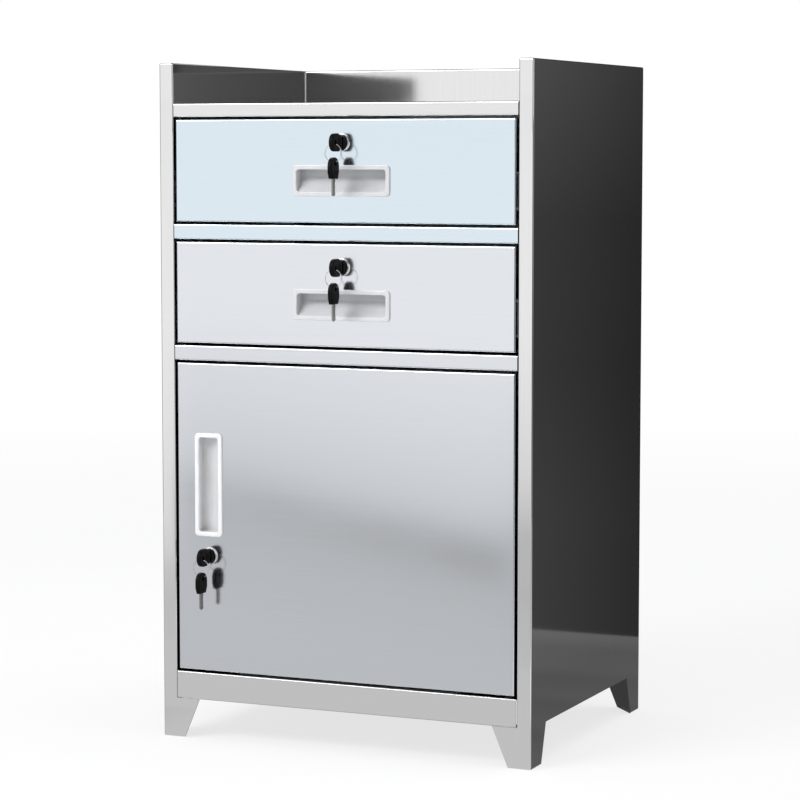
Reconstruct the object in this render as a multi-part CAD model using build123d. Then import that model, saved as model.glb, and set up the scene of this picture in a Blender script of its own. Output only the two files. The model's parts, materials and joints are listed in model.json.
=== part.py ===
from build123d import *
import os

# Stainless steel storage cabinet: two drawers over a cupboard, on four folded legs.
# Millimetres, +Z up. The front faces -Y. The origin is on the floor, under the middle
# of the whole piece with its keys.

# Whole cabinet
WIDTH = 500.0
DEPTH = 400.0
HEIGHT = 850.0

# Sheet metal
SHEET = 1.0
BEND_INSIDE = 1.0
HEM = 15.0
OVERRUN = 5.0
FIT = 0.05
SLIP = 0.3

# Carcass walls: the sides and the back are box sections, as wide as the stiles
WALL = 19.0
RETURN_DEPTH = 18.0
GALLERY_HEIGHT = 50.0
SEAM = 0.8
SEAM_DEPTH = 6.0

# Legs: the stile and the side skin splay out from the floor to the body
LEG_HEIGHT = 50.0
LEG_TOP_WIDTH = 51.0
FOOT_WIDTH = 30.0
LEG_TOP_DEPTH = 50.0
FOOT_DEPTH = 34.0

# Rails and gaps across the front
LIP_HEIGHT = 17.0
RAIL_HEIGHT = 19.0
RAIL_DEPTH = 17.0
APRON_HEIGHT = 35.0
GAP = 3.0
SIDE_GAP = 3.5
STOP_RISE = 10.0
STOP_WIDTH = 300.0

# Fronts of the drawers and the door
DRAWER_HEIGHT = 126.5
FRONT_DEPTH = 18.0
LINER_LAP = 5.0

# Drawer trays
TRAY_SHEET = 0.8
TRAY_RAISE = 8.0
TRAY_HEIGHT = 75.0
TRAY_DEPTH = 345.0
TRAY_RIM = 8.0

# Telescopic slides, three nested profiles
SLIDE_LENGTH = 350.0
SLIDE_HEIGHT = 45.0
SLIDE_THICK = 12.7
SLIDE_GAUGE = 1.2
SLIDE_RUN = 0.4
SLIDE_LIP = 4.6
SLIDE_OUTER_DEPTH = 9.5
SLIDE_SETBACK = 2.0
SLIDE_LIFT = 32.0

# Posts that carry the slides
POST_WIDTH = 30.0
POST_SETBACK = 25.0

# Cupboard shelf
SHELF_RISE = 200.0
SHELF_HEM = 20.0
SHELF_SIDE_CLEAR = 3.0
SHELF_FRONT_CLEAR = 35.0
SHELF_BACK_CLEAR = 3.0
CLIP_SHEET = 1.5
CLIP_LEDGE = 14.0
CLIP_HEIGHT = 22.0
CLIP_WIDTH = 20.0
CLIP_INSET = 40.0

# Door pivots
PIVOT_INSET_X = 9.0
PIVOT_INSET_Y = 7.0
PIN_RADIUS = 3.0
PIN_LENGTH = 8.0
WASHER_RADIUS = 5.5
BUSH_RADIUS = 4.8
BUSH_LENGTH = 11.0

# Recessed pulls
PULL_LENGTH = 130.0
PULL_HEIGHT = 38.0
PULL_BORDER = 5.5
PULL_PROUD = 2.5
PULL_CORNER = 5.0
PULL_MOUTH_CORNER = 3.5
PULL_EDGE = 1.2
PULL_DEPTH = 14.0
PULL_WALL = 1.8
PULL_HOOK = 2.6
PULL_DROP = 75.0
DOOR_PULL_INSET = 44.0
DOOR_PULL_RISE_SHARE = 0.607
PULL_DEEP_SHARE = 0.25
PULL_BELLY_SHARE = 0.62

# Cam locks
LOCK_DROP = 28.7
DOOR_LOCK_BELOW_PULL = 90.0
BEZEL_RADIUS = 11.0
BEZEL_PROUD = 2.5
BEZEL_EDGE = 0.8
BARREL_RADIUS = 9.0
BARREL_PAST_LINER = 1.0
PLUG_RADIUS = 6.0
PLUG_RECESS = 0.4
NUT_FLATS = 22.0
NUT_THICK = 4.0
TAIL_SIDE = 7.0
CAM_THICK = 2.0
CAM_WIDTH = 15.0
DRAWER_CAM_REACH = 40.0
DOOR_CAM_REACH = 54.0
SCREW_HEAD_RADIUS = 4.5
SCREW_HEAD_THICK = 3.0
SCREW_RADIUS = 1.75
SCREW_LENGTH = 2.8

# Keys and rings
KEY_HEAD_LENGTH = 26.0
KEY_HEAD_WIDTH = 22.0
KEY_HEAD_THICK = 6.0
KEY_SHOULDER_SHARE = 0.7
KEY_TAPER_SHARE = 0.3
KEY_HEAD_EDGE = 1.2
KEY_HOLE_RADIUS = 3.3
KEY_HOLE_INSET = 7.5
KEY_NECK = 1.5
BLADE_LENGTH = 21.0
BLADE_WIDTH = 7.0
BLADE_THICK = 2.0
BLADE_TIP = 2.0
TANG_LENGTH = 9.0
BITTING_SHARES = (0.25, 0.4, 0.55, 0.7)
BITTING_DEPTH = 1.4
RING_RADIUS = 11.0
WIRE_RADIUS = 0.8
RING_DROP = 1.7

# Places worked out from the sizes
RING_STANDOFF = BEZEL_PROUD + KEY_NECK + KEY_HEAD_LENGTH - KEY_HOLE_INSET
KEY_REACH = RING_STANDOFF + KEY_HEAD_WIDTH / 2
FRONT_Y = (KEY_REACH - DEPTH) / 2
BACK_Y = FRONT_Y + DEPTH
SIDE_X = WIDTH / 2
WEB_X = SIDE_X - SHEET
OPENING_X = SIDE_X - WALL
FRONT_X = OPENING_X - SIDE_GAP
BEND = BEND_INSIDE + SHEET

DECK_Z = HEIGHT - GALLERY_HEIGHT
DROP_Z = DECK_Z - HEM
LIP_Z = DECK_Z - LIP_HEIGHT
UPPER_TOP = LIP_Z - GAP
UPPER_BOTTOM = UPPER_TOP - DRAWER_HEIGHT
RAIL_TOP = UPPER_BOTTOM - GAP
RAIL_BOTTOM = RAIL_TOP - RAIL_HEIGHT
LOWER_TOP = RAIL_BOTTOM - GAP
LOWER_BOTTOM = LOWER_TOP - DRAWER_HEIGHT
HEAD_TOP = LOWER_BOTTOM - GAP
HEAD_BOTTOM = HEAD_TOP - RAIL_HEIGHT
DOOR_TOP = HEAD_BOTTOM - GAP
APRON_TOP = LEG_HEIGHT + APRON_HEIGHT
DOOR_BOTTOM = APRON_TOP + GAP
FLOOR_Z = APRON_TOP - SHEET
BACK_WEB_Y = BACK_Y - 2 * SHEET
FRONT_BACK_Y = FRONT_Y + FRONT_DEPTH

TRAY_X = OPENING_X - SLIDE_THICK
SLIDE_Y = FRONT_BACK_Y + SLIDE_SETBACK
SHELF_Z = FLOOR_Z + SHELF_RISE
PIVOT_X = FRONT_X - PIVOT_INSET_X
PIVOT_Y = FRONT_Y + PIVOT_INSET_Y
DOOR_PULL_X = DOOR_PULL_INSET - FRONT_X
DOOR_PULL_Z = DOOR_BOTTOM + (DOOR_TOP - DOOR_BOTTOM) * DOOR_PULL_RISE_SHARE
DOOR_LOCK_Z = DOOR_PULL_Z - DOOR_LOCK_BELOW_PULL
BARREL_END_Y = FRONT_BACK_Y + BARREL_PAST_LINER
CAM_Y = BARREL_END_Y + SLIP


def save(shape, node):
    """Write one piece to its own file."""
    export_step(shape, f"parts/{node}.step")


def block(x0, x1, y0, y1, z0, z1):
    """A box between two corners."""
    box = Box(x1 - x0, y1 - y0, z1 - z0, align=(Align.MIN, Align.MIN, Align.MIN))
    return Pos(x0, y0, z0) * box


def both_sides(right):
    """A right-hand piece and its mirror image, as two solids."""
    return Compound(children=[right, mirror(right, about=Plane.YZ)])


def fold_face(points, sheet):
    """Section of a folded sheet: points follow its outer skin, with the metal on the right."""
    skin = FilletPolyline(*points, radius=BEND)
    return make_face(offset(skin, amount=sheet, side=Side.RIGHT))


def fold_along_x(points, half_length, sheet=SHEET):
    """A sheet folded to a profile of (y, z) points, running the same length each side of x = 0."""
    face = Plane.YZ.offset(-half_length) * fold_face(points, sheet)
    return extrude(face, amount=2 * half_length)


def fold_along_y(points, y0, y1, sheet=SHEET):
    """A sheet folded to a profile of (x, z) points, running from y0 to y1."""
    face = Plane.XZ.offset(-y1) * fold_face(points, sheet)
    return extrude(face, amount=y1 - y0)


def edges_on(shape, axis, end):
    """Edges of the face at one end of an axis: 0 is the lowest, -1 the highest."""
    return shape.faces().sort_by(axis)[end].edges()


def end_seams(rail, z0, z1):
    """Narrow the face of a rail at both ends, which leaves a seam beside each stile."""
    notch = block(OPENING_X - SEAM, OPENING_X + OVERRUN, FRONT_Y - OVERRUN, FRONT_Y + SEAM_DEPTH, z0, z1)
    return rail - notch - mirror(notch, about=Plane.YZ)


def leg_plate(y0, y1):
    """Splayed front or rear face of the right leg, between two planes."""
    outline = Polyline(
        (SIDE_X - WALL / 2, 0),
        (SIDE_X - FOOT_WIDTH, 0),
        (SIDE_X - LEG_TOP_WIDTH, LEG_HEIGHT),
        (SIDE_X - WALL / 2, LEG_HEIGHT),
        close=True,
    )
    return extrude(Plane.XZ.offset(-y1) * make_face(outline), amount=y1 - y0)


def sole_plate(wall_y, inward):
    """Corner plate at the floor inside one leg. It runs inward from the leg's front or rear face."""
    outline = Polyline(
        (WEB_X, wall_y),
        (SIDE_X - FOOT_WIDTH, wall_y),
        (WEB_X, wall_y + inward * (FOOT_DEPTH - SHEET)),
        close=True,
    )
    return extrude(Plane.XY * make_face(outline), amount=SHEET, dir=(0, 0, 1))


def side_panel():
    """Right side: skin, stile, rear flange, gallery wall and legs, folded from one sheet."""
    body = block(OPENING_X, SIDE_X, FRONT_Y, BACK_Y, 0, HEIGHT)
    uprights = body.edges().filter_by(Axis.Z).sort_by(Axis.X)
    stile_edge = uprights[:2].sort_by(Axis.Y)[0]
    body = fillet([*edges_on(body, Axis.Z, -1), stile_edge, *uprights[2:]], BEND)
    panel = offset(body, amount=-SHEET, openings=body.faces().sort_by(Axis.Z)[0])
    window = block(
        OPENING_X - OVERRUN, SIDE_X - WALL / 2, FRONT_Y + RETURN_DEPTH, BACK_Y - SHEET, -OVERRUN, DROP_Z
    )
    open_leg = block(
        OPENING_X - OVERRUN, SIDE_X - WALL / 2, FRONT_Y + SHEET, BACK_Y - SHEET, -OVERRUN, LEG_HEIGHT
    )
    legs_gap = Polyline(
        (FRONT_Y + FOOT_DEPTH, 0),
        (FRONT_Y + LEG_TOP_DEPTH, LEG_HEIGHT),
        (BACK_Y - LEG_TOP_DEPTH, LEG_HEIGHT),
        (BACK_Y - FOOT_DEPTH, 0),
        close=True,
    )
    between_legs = extrude(Plane.YZ.offset(OPENING_X) * make_face(legs_gap), amount=WALL + OVERRUN)
    panel = panel - window - open_leg - between_legs
    panel += leg_plate(FRONT_Y, FRONT_Y + SHEET)
    panel += leg_plate(BACK_Y - SHEET, BACK_Y)
    panel += sole_plate(FRONT_Y + SHEET, 1)
    panel += sole_plate(BACK_Y - SHEET, -1)
    return panel


def back_panel():
    """Back skin, folded forward at the top into the rear gallery wall."""
    skin_y = BACK_Y - SHEET
    wall_y = BACK_Y - WALL
    gallery = [(wall_y, DROP_Z), (wall_y, HEIGHT), (skin_y, HEIGHT), (skin_y, DROP_Z - HEM)]
    skin = [(skin_y, DROP_Z), (skin_y, LEG_HEIGHT), (skin_y - HEM, LEG_HEIGHT)]
    return fold_along_x(gallery, OPENING_X) + fold_along_x(skin, WEB_X - BEND_INSIDE)


def top_deck():
    """Deck between the gallery walls, with a front lip and flanges turned down inside the walls."""
    wall_y = BACK_Y - WALL
    profile = [
        (FRONT_Y + RAIL_DEPTH, LIP_Z),
        (FRONT_Y, LIP_Z),
        (FRONT_Y, DECK_Z),
        (wall_y, DECK_Z),
        (wall_y, DROP_Z),
    ]
    deck = fold_along_x(profile, OPENING_X)
    flange = block(OPENING_X - SHEET, OPENING_X, FRONT_Y + RAIL_DEPTH, wall_y, DROP_Z, DECK_Z)
    deck = deck + flange + mirror(flange, about=Plane.YZ)
    return end_seams(deck, LIP_Z - OVERRUN, DECK_Z + OVERRUN)


def upper_rail():
    """Channel between the two drawers."""
    profile = [
        (FRONT_Y + RAIL_DEPTH, RAIL_BOTTOM),
        (FRONT_Y, RAIL_BOTTOM),
        (FRONT_Y, RAIL_TOP),
        (FRONT_Y + RAIL_DEPTH, RAIL_TOP),
    ]
    return end_seams(fold_along_x(profile, OPENING_X), RAIL_BOTTOM - OVERRUN, RAIL_TOP + OVERRUN)


def wing(top_z):
    """Right edge of an inner floor, out to the side skin, with its flange and an ear in the stile."""
    points = [(OPENING_X - BEND, top_z), (WEB_X, top_z), (WEB_X, top_z - HEM)]
    edge = fold_along_y(points, FRONT_Y + RETURN_DEPTH, BACK_WEB_Y)
    ear = block(
        OPENING_X + BEND, WEB_X - BEND, FRONT_Y + BEND, FRONT_Y + RETURN_DEPTH, top_z - SHEET, top_z
    )
    return edge + ear


def divider_panel():
    """Ceiling of the cupboard, with the rail over the door."""
    profile = [
        (FRONT_Y + RAIL_DEPTH, HEAD_BOTTOM),
        (FRONT_Y, HEAD_BOTTOM),
        (FRONT_Y, HEAD_TOP),
        (BACK_WEB_Y, HEAD_TOP),
        (BACK_WEB_Y, HEAD_TOP - HEM),
    ]
    panel = end_seams(fold_along_x(profile, OPENING_X), HEAD_BOTTOM - OVERRUN, HEAD_TOP + OVERRUN)
    right = wing(HEAD_TOP)
    return panel + right + mirror(right, about=Plane.YZ)


def bottom_panel():
    """Floor of the cupboard, lapped under the apron's top flange."""
    profile = [(FRONT_Y + SHEET + BEND, FLOOR_Z), (BACK_WEB_Y, FLOOR_Z), (BACK_WEB_Y, FLOOR_Z - HEM)]
    right = wing(FLOOR_Z)
    return fold_along_x(profile, OPENING_X) + right + mirror(right, about=Plane.YZ)


def front_apron():
    """Channel under the door, between the legs, with a tongue turned up behind the door to stop it."""
    stop_y = FRONT_BACK_Y + SLIP
    profile = [
        (FRONT_Y + HEM, LEG_HEIGHT),
        (FRONT_Y, LEG_HEIGHT),
        (FRONT_Y, APRON_TOP),
        (stop_y, APRON_TOP),
        (stop_y, APRON_TOP + STOP_RISE),
    ]
    apron = fold_along_x(profile, OPENING_X)
    beside_stop = block(
        STOP_WIDTH / 2,
        OPENING_X + OVERRUN,
        FRONT_Y + RAIL_DEPTH,
        stop_y + SHEET + OVERRUN,
        FLOOR_Z,
        APRON_TOP + STOP_RISE + OVERRUN,
    )
    apron = apron - beside_stop - mirror(beside_stop, about=Plane.YZ)
    return end_seams(apron, LEG_HEIGHT - OVERRUN, APRON_TOP + OVERRUN)


def shelf():
    """Loose shelf: a sheet with its four edges turned down."""
    half = WEB_X - SHELF_SIDE_CLEAR
    y0 = FRONT_Y + SHELF_FRONT_CLEAR
    y1 = BACK_WEB_Y - SHELF_BACK_CLEAR
    body = block(-half, half, y0, y1, SHELF_Z - SHELF_HEM, SHELF_Z)
    body = fillet(edges_on(body, Axis.Z, -1), BEND)
    return offset(body, amount=-SHEET, openings=body.faces().sort_by(Axis.Z)[0])


def shelf_clips():
    """Four angle clips on the side skins, under the corners of the shelf."""
    ledge_z = SHELF_Z - SHELF_HEM
    points = [(WEB_X - CLIP_LEDGE, ledge_z), (WEB_X, ledge_z), (WEB_X, ledge_z - CLIP_HEIGHT)]
    front_y = FRONT_Y + SHELF_FRONT_CLEAR + CLIP_INSET
    rear_y = BACK_WEB_Y - SHELF_BACK_CLEAR - CLIP_INSET
    clips = []
    for y in (front_y, rear_y - CLIP_WIDTH):
        clip = fold_along_y(points, y, y + CLIP_WIDTH, CLIP_SHEET)
        clips += [clip, mirror(clip, about=Plane.YZ)]
    return Compound(children=clips)


def slide_posts():
    """Four channels between the divider and the gallery, which bring the slides in line with the stiles."""
    front_y = FRONT_Y + RETURN_DEPTH + SHEET
    rear_y = SLIDE_Y + SLIDE_LENGTH - POST_SETBACK
    posts = []
    for y in (front_y, rear_y):
        points = [(WEB_X, y + POST_WIDTH), (OPENING_X, y + POST_WIDTH), (OPENING_X, y), (WEB_X, y)]
        section = Plane.XY * fold_face(points[::-1], SHEET)
        post = Pos(0, 0, HEAD_TOP) * extrude(section, amount=DROP_Z - HEAD_TOP, dir=(0, 0, 1))
        posts += [post, mirror(post, about=Plane.YZ)]
    return Compound(children=posts)


def slide_section(points):
    """Half of a rail's section, as (distance in from the post, height) points, mirrored to a whole one."""
    half = make_face(Polyline(*[(OPENING_X - u, v) for u, v in points], close=True))
    return half + mirror(half, about=Plane.XZ)


def slide_rails(points, tray_bottom):
    """The pair of rails with one section, on both sides of a drawer."""
    section = Plane.XZ.offset(-SLIDE_Y - SLIDE_LENGTH) * slide_section(points)
    rail = Pos(0, 0, tray_bottom + SLIDE_LIFT) * extrude(section, amount=SLIDE_LENGTH)
    return both_sides(rail)


def outer_rails(tray_bottom):
    """C section on the posts, with lips that hold the middle rail."""
    top = SLIDE_HEIGHT / 2
    points = [
        (0, 0),
        (SLIDE_GAUGE, 0),
        (SLIDE_GAUGE, top - SLIDE_GAUGE),
        (SLIDE_OUTER_DEPTH - SLIDE_GAUGE, top - SLIDE_GAUGE),
        (SLIDE_OUTER_DEPTH - SLIDE_GAUGE, top - SLIDE_LIP),
        (SLIDE_OUTER_DEPTH, top - SLIDE_LIP),
        (SLIDE_OUTER_DEPTH, top),
        (0, top),
    ]
    return slide_rails(points, tray_bottom)


def middle_rails(tray_bottom):
    """Two channels back to back: one runs in the outer rail, the other carries the inner rail."""
    wide = SLIDE_HEIGHT / 2 - SLIDE_GAUGE - SLIDE_RUN
    neck = SLIDE_HEIGHT / 2 - SLIDE_LIP - SLIDE_RUN
    web_end = SLIDE_OUTER_DEPTH - SLIDE_GAUGE - SLIDE_RUN
    web_start = web_end - SLIDE_GAUGE
    flange_end = SLIDE_THICK - SLIDE_GAUGE - SLIDE_RUN
    points = [
        (web_start, 0),
        (web_end, 0),
        (web_end, neck - SLIDE_GAUGE),
        (flange_end, neck - SLIDE_GAUGE),
        (flange_end, neck),
        (web_end, neck),
        (web_end, wide),
        (SLIDE_GAUGE + SLIDE_RUN, wide),
        (SLIDE_GAUGE + SLIDE_RUN, wide - SLIDE_GAUGE),
        (web_start, wide - SLIDE_GAUGE),
    ]
    return slide_rails(points, tray_bottom)


def inner_rails(tray_bottom):
    """C section on the tray, inside the middle rail."""
    neck = SLIDE_HEIGHT / 2 - SLIDE_LIP - SLIDE_RUN
    inside = neck - SLIDE_GAUGE - SLIDE_RUN
    start = SLIDE_OUTER_DEPTH - SLIDE_GAUGE
    points = [
        (SLIDE_THICK - SLIDE_GAUGE, 0),
        (SLIDE_THICK, 0),
        (SLIDE_THICK, neck),
        (SLIDE_THICK - SLIDE_GAUGE, neck),
        (SLIDE_THICK - SLIDE_GAUGE, inside),
        (start, inside),
        (start, inside - SLIDE_GAUGE),
        (SLIDE_THICK - SLIDE_GAUGE, inside - SLIDE_GAUGE),
    ]
    return slide_rails(points, tray_bottom)


def tray(bottom):
    """Drawer box, open at the top, with its side rims rolled out to the slides."""
    y1 = FRONT_BACK_Y + TRAY_DEPTH
    body = block(-TRAY_X, TRAY_X, FRONT_BACK_Y, y1, bottom, bottom + TRAY_HEIGHT)
    body = fillet(edges_on(body, Axis.Z, 0), BEND)
    box = offset(body, amount=-TRAY_SHEET, openings=body.faces().sort_by(Axis.Z)[-1])
    top = bottom + TRAY_HEIGHT
    rim = block(TRAY_X - TRAY_RIM, TRAY_X, FRONT_BACK_Y, y1, top - TRAY_SHEET, top)
    rim = rim - block(TRAY_X - TRAY_RIM, TRAY_X, FRONT_BACK_Y, FRONT_BACK_Y + TRAY_SHEET, bottom, top)
    return box + rim + mirror(rim, about=Plane.YZ)


def front_skin(z0, z1):
    """Front of a drawer or door: a pan folded back on four edges."""
    body = block(-FRONT_X, FRONT_X, FRONT_Y, FRONT_BACK_Y, z0, z1)
    body = fillet(edges_on(body, Axis.Y, 0), BEND)
    return offset(body, amount=-SHEET, openings=body.faces().sort_by(Axis.Y)[-1])


def front_liner(z0, z1):
    """Plate that closes the back of a front, with short flanges inside the pan."""
    half = FRONT_X - SHEET
    body = block(-half, half, FRONT_BACK_Y - LINER_LAP, FRONT_BACK_Y, z0 + SHEET, z1 - SHEET)
    return offset(body, amount=-SHEET, openings=body.faces().sort_by(Axis.Y)[0])


def place_pull(shape, x, z, turn):
    """Put a pull, drawn about its own middle with its hooking edge up, on the front face."""
    return Pos(x, FRONT_Y, z) * Rot(0, turn, 0) * shape


def pull_section(grow):
    """Scoop of a pull as a (y, z) section, grown by a wall: a curved ramp down to a hooked pocket."""
    mouth = PULL_HEIGHT / 2 - PULL_BORDER
    deep = PULL_DEPTH + grow
    foot = (0, -mouth - grow)
    heel = (deep, PULL_HEIGHT * PULL_DEEP_SHARE / 2)
    belly = (deep * PULL_BELLY_SHARE, (foot[1] + heel[1]) / 2)
    top = mouth + PULL_HOOK + grow
    ramp = ThreePointArc(foot, belly, heel)
    rest = Polyline(heel, (deep, top), (0, top), foot)
    return make_face(ramp + rest)


def pull_scoop(grow):
    """Solid of the scoop, grown by a wall on its bottom and sides."""
    half = PULL_LENGTH / 2 - PULL_BORDER + grow
    return extrude(Plane.YZ.offset(-half) * pull_section(grow), amount=2 * half)


def pull():
    """Recessed pull: a rounded frame on the face and a scoop behind it."""
    frame = RectangleRounded(PULL_LENGTH, PULL_HEIGHT, PULL_CORNER)
    mouth = RectangleRounded(
        PULL_LENGTH - 2 * PULL_BORDER, PULL_HEIGHT - 2 * PULL_BORDER, PULL_MOUTH_CORNER
    )
    rim = extrude(Plane.XZ * frame, amount=PULL_PROUD)
    rim = rim - extrude(Plane.XZ * mouth, amount=PULL_PROUD)
    rim = fillet(edges_on(rim, Axis.Y, 0), PULL_EDGE)
    lip = extrude(Plane.XZ.offset(-PULL_WALL) * frame, amount=PULL_WALL) & pull_scoop(PULL_WALL)
    through = extrude(Plane.XZ.offset(-PULL_WALL) * mouth, amount=PULL_WALL)
    scoop = pull_scoop(PULL_WALL) - pull_scoop(0)
    return rim + scoop + (lip - through)


def pull_opening():
    """Hole in the sheet for the scoop of a pull."""
    size = pull_scoop(PULL_WALL + SLIP).bounding_box()
    return block(size.min.X, size.max.X, -OVERRUN, SHEET + OVERRUN, size.min.Z, size.max.Z)


def lock_cylinder(radius, y0, y1, x, z):
    """Cylinder on a lock's axis, between two distances behind the front face."""
    disc = Plane.XZ.offset(-FRONT_Y - y1) * Circle(radius)
    return Pos(x, 0, z) * extrude(disc, amount=y1 - y0)


def lock_barrel(x, z):
    """Fixed body of a cam lock: a bezel on the face and a barrel through the skin and the liner."""
    end = BARREL_END_Y - FRONT_Y
    bezel = lock_cylinder(BEZEL_RADIUS, -BEZEL_PROUD, 0, x, z)
    bezel = fillet(edges_on(bezel, Axis.Y, 0), BEZEL_EDGE)
    barrel = bezel + lock_cylinder(BARREL_RADIUS, 0, end, x, z)
    return barrel - lock_cylinder(PLUG_RADIUS + FIT, -BEZEL_PROUD - OVERRUN, end + OVERRUN, x, z)


def lock_nut(x, z):
    """Hexagon nut that clamps a lock to the skin from behind."""
    outline = RegularPolygon(NUT_FLATS / 2, 6, major_radius=False)
    nut = extrude(Plane.XZ.offset(-FRONT_Y - SHEET - NUT_THICK) * outline, amount=NUT_THICK)
    return Pos(x, 0, z) * nut - lock_cylinder(BARREL_RADIUS + FIT, 0, SHEET + NUT_THICK + OVERRUN, x, z)


def square_bar(side, y0, y1, x, z):
    """Square bar on a lock's axis, between two Y places."""
    return block(x - side / 2, x + side / 2, y0, y1, z - side / 2, z + side / 2)


def blade_slot(x, z, clearance):
    """Space of an inserted blade, from in front of the bezel to just past the tip."""
    tip_y = FRONT_Y - BEZEL_PROUD - KEY_NECK + BLADE_LENGTH + SLIP
    half_thick = BLADE_THICK / 2 + clearance
    half_wide = BLADE_WIDTH / 2 + clearance
    return block(
        x - half_thick, x + half_thick, FRONT_Y - BEZEL_PROUD, tip_y, z - half_wide, z + half_wide
    )


def lock_plug(x, z):
    """Turning core of a lock, with its keyway and the square tail that drives the cam."""
    plug = lock_cylinder(PLUG_RADIUS, PLUG_RECESS - BEZEL_PROUD, CAM_Y - FRONT_Y, x, z)
    plug += square_bar(TAIL_SIDE, CAM_Y, CAM_Y + CAM_THICK, x, z)
    tail_end = CAM_Y + CAM_THICK - FRONT_Y
    plug -= lock_cylinder(SCREW_RADIUS + FIT, tail_end - SCREW_LENGTH - FIT, tail_end + OVERRUN, x, z)
    return plug - blade_slot(x, z, 2 * FIT)


def lock_cam(x, z, reach, toward):
    """Cam plate behind the liner: a round hub and a straight arm. It is drawn reaching to -X, then turned."""
    arm = Pos(-reach / 2, 0) * Rectangle(reach, CAM_WIDTH)
    outline = Circle(CAM_WIDTH / 2) + arm
    cam = extrude(Plane.XZ.offset(-CAM_THICK) * outline, amount=CAM_THICK)
    hole = TAIL_SIDE + 2 * FIT
    cam = cam - block(-hole / 2, hole / 2, -OVERRUN, CAM_THICK + OVERRUN, -hole / 2, hole / 2)
    return Pos(x, CAM_Y, z) * Rot(0, toward, 0) * cam


def cam_screw(x, z):
    """Screw in the plug's tail that holds the cam."""
    seat = CAM_Y + CAM_THICK - FRONT_Y
    shank = lock_cylinder(SCREW_RADIUS, seat - SCREW_LENGTH, seat, x, z)
    return shank + lock_cylinder(SCREW_HEAD_RADIUS, seat, seat + SCREW_HEAD_THICK, x, z)


def key_head():
    """Moulded head of a key, drawn hanging: its hole is at the origin and the blade points down."""
    half = KEY_HEAD_WIDTH / 2
    top = KEY_HOLE_INSET
    base = top - KEY_HEAD_LENGTH
    shoulder = half * KEY_SHOULDER_SHARE
    taper_z = base + KEY_HEAD_LENGTH * KEY_TAPER_SHARE
    arc = ThreePointArc((half, top - half), (0, top), (-half, top - half))
    sides = Polyline(
        (-half, top - half),
        (-half, taper_z),
        (-shoulder, base),
        (shoulder, base),
        (half, taper_z),
        (half, top - half),
    )
    face = make_face(arc + sides)
    head = extrude(Plane.YZ.offset(-KEY_HEAD_THICK / 2) * face, amount=KEY_HEAD_THICK)
    rims = edges_on(head, Axis.X, 0) + edges_on(head, Axis.X, -1)
    head = fillet(rims, KEY_HEAD_EDGE)
    hole = extrude(Plane.YZ.offset(-KEY_HEAD_THICK) * Circle(KEY_HOLE_RADIUS), amount=2 * KEY_HEAD_THICK)
    half_thick = BLADE_THICK / 2 + FIT
    half_wide = BLADE_WIDTH / 2 + FIT
    tang = block(-half_thick, half_thick, -half_wide, half_wide, base - OVERRUN, base + TANG_LENGTH + FIT)
    return head - hole - tang


def key_blade():
    """Flat blade with its tang and bitting, drawn hanging below the hole of its head."""
    half = BLADE_WIDTH / 2
    base = KEY_HOLE_INSET - KEY_HEAD_LENGTH
    tip = base - BLADE_LENGTH
    outline = Polyline(
        (-half, base + TANG_LENGTH),
        (-half, tip + BLADE_TIP),
        (0, tip),
        (half, tip + BLADE_TIP),
        (half, base + TANG_LENGTH),
        close=True,
    )
    face = make_face(outline)
    for share in BITTING_SHARES:
        cut_z = base - BLADE_LENGTH * share
        cut = Polyline(
            (half - BITTING_DEPTH, cut_z),
            (half + BITTING_DEPTH, cut_z + 2 * BITTING_DEPTH),
            (half + BITTING_DEPTH, cut_z - 2 * BITTING_DEPTH),
            close=True,
        )
        face -= make_face(cut)
    return extrude(Plane.YZ.offset(-BLADE_THICK / 2) * face, amount=BLADE_THICK)


def lock_set(name, x, z, reach, toward):
    """One cam lock with the key in it, its ring and the spare key that hangs from the ring."""
    hole_y = FRONT_Y - RING_STANDOFF
    in_lock = Pos(x, hole_y, z) * Rot(90, 0, 0)
    ring_z = z - RING_DROP - RING_RADIUS
    hanging = Pos(x, hole_y, ring_z - RING_RADIUS - RING_DROP)
    save(lock_barrel(x, z), f"{name}_lock_barrel")
    save(lock_nut(x, z), f"{name}_lock_nut")
    save(lock_plug(x, z), f"{name}_lock_plug")
    save(lock_cam(x, z, reach, toward), f"{name}_lock_cam")
    save(cam_screw(x, z), f"{name}_cam_screw")
    save(in_lock * key_head(), f"{name}_key_head")
    save(in_lock * key_blade(), f"{name}_key_blade")
    save(Pos(x, hole_y, ring_z) * Rot(90, 0, 0) * Torus(RING_RADIUS, WIRE_RADIUS), f"{name}_key_ring")
    save(hanging * key_head(), f"{name}_spare_key_head")
    save(hanging * key_blade(), f"{name}_spare_key_blade")


def lock_hole(x, z):
    """Hole for a lock's barrel through the skin and the liner."""
    return lock_cylinder(BARREL_RADIUS + SLIP / 2, -OVERRUN, FRONT_DEPTH + OVERRUN, x, z)


def drawer(name, top):
    """One drawer: front, pull, tray, slides and lock."""
    bottom = top - DRAWER_HEIGHT
    tray_bottom = bottom + TRAY_RAISE
    pull_z = top - PULL_DROP
    lock_z = top - LOCK_DROP
    hole = lock_hole(0, lock_z)
    save(front_skin(bottom, top) - place_pull(pull_opening(), 0, pull_z, 0) - hole, f"{name}_drawer_skin")
    save(front_liner(bottom, top) - hole, f"{name}_drawer_liner")
    save(place_pull(pull(), 0, pull_z, 0), f"{name}_drawer_pull")
    save(tray(tray_bottom), f"{name}_drawer_tray")
    save(outer_rails(tray_bottom), f"{name}_outer_rails")
    save(middle_rails(tray_bottom), f"{name}_middle_rails")
    save(inner_rails(tray_bottom), f"{name}_inner_rails")
    lock_set(name, 0, lock_z, DRAWER_CAM_REACH, 0)


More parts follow.
